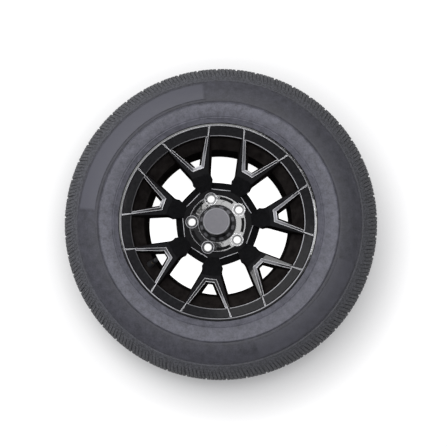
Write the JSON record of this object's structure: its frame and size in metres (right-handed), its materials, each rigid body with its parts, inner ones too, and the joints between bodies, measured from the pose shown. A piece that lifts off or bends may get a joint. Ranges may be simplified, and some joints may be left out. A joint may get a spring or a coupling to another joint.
{
  "type": "trailer spare wheel",
  "caption": "Tubeless trailer tyre on a gloss black alloy wheel with forked spokes, milled edges, a tall centre cap and a snap-in valve.",
  "frame": {"origin": "on the spin axis in the wheel's centre plane, which is also its mounting face", "axes": "+Z along the spin axis towards the outer face; the wheel lies flat on its inner side"},
  "size_m": [0.6689, 0.669, 0.208],
  "materials": {
    "tyre_rubber": "moulded rubber",
    "wheel_black": "gloss black paint with bare milled edges",
    "cap_black": "gloss",
    "cap_grey": "satin",
    "spring_steel": "drawn wire",
    "valve_rubber": "moulded",
    "valve_brass": "turned",
    "core_seal": "moulded",
    "valve_cap_plastic": "moulded"
  },
  "bodies": {
    "root": {"tyre": "tyre_rubber", "wheel": "wheel_black", "centre_cap": "cap_black", "centre_cap_disc": "cap_grey", "cap_spring_ring": "spring_steel", "valve_body": "valve_rubber", "valve_stem": "valve_brass", "core_barrel": "valve_brass", "core_gasket": "core_seal", "core_spring": "spring_steel"},
    "valve_pin": {"core_pin": "valve_brass", "core_cup": "core_seal"},
    "screw_cap": {"valve_cap": "valve_cap_plastic", "valve_cap_seal": "core_seal"}
  },
  "joints": [
    {"name": "valve_pin_slide", "type": "slide", "parent": "root", "child": "valve_pin", "axis": [0.6052, 0.3784, 0.7003], "range_m": [-0.0012, 0], "stiffness_N_per_m": 1500, "springref_m": 0.001, "deforming": ["core_spring"]},
    {"name": "screw_cap_lift", "type": "slide", "parent": "root", "child": "screw_cap", "axis": [0.6052, 0.3784, 0.7003], "range_m": [0, 0.0104]}
  ]
}
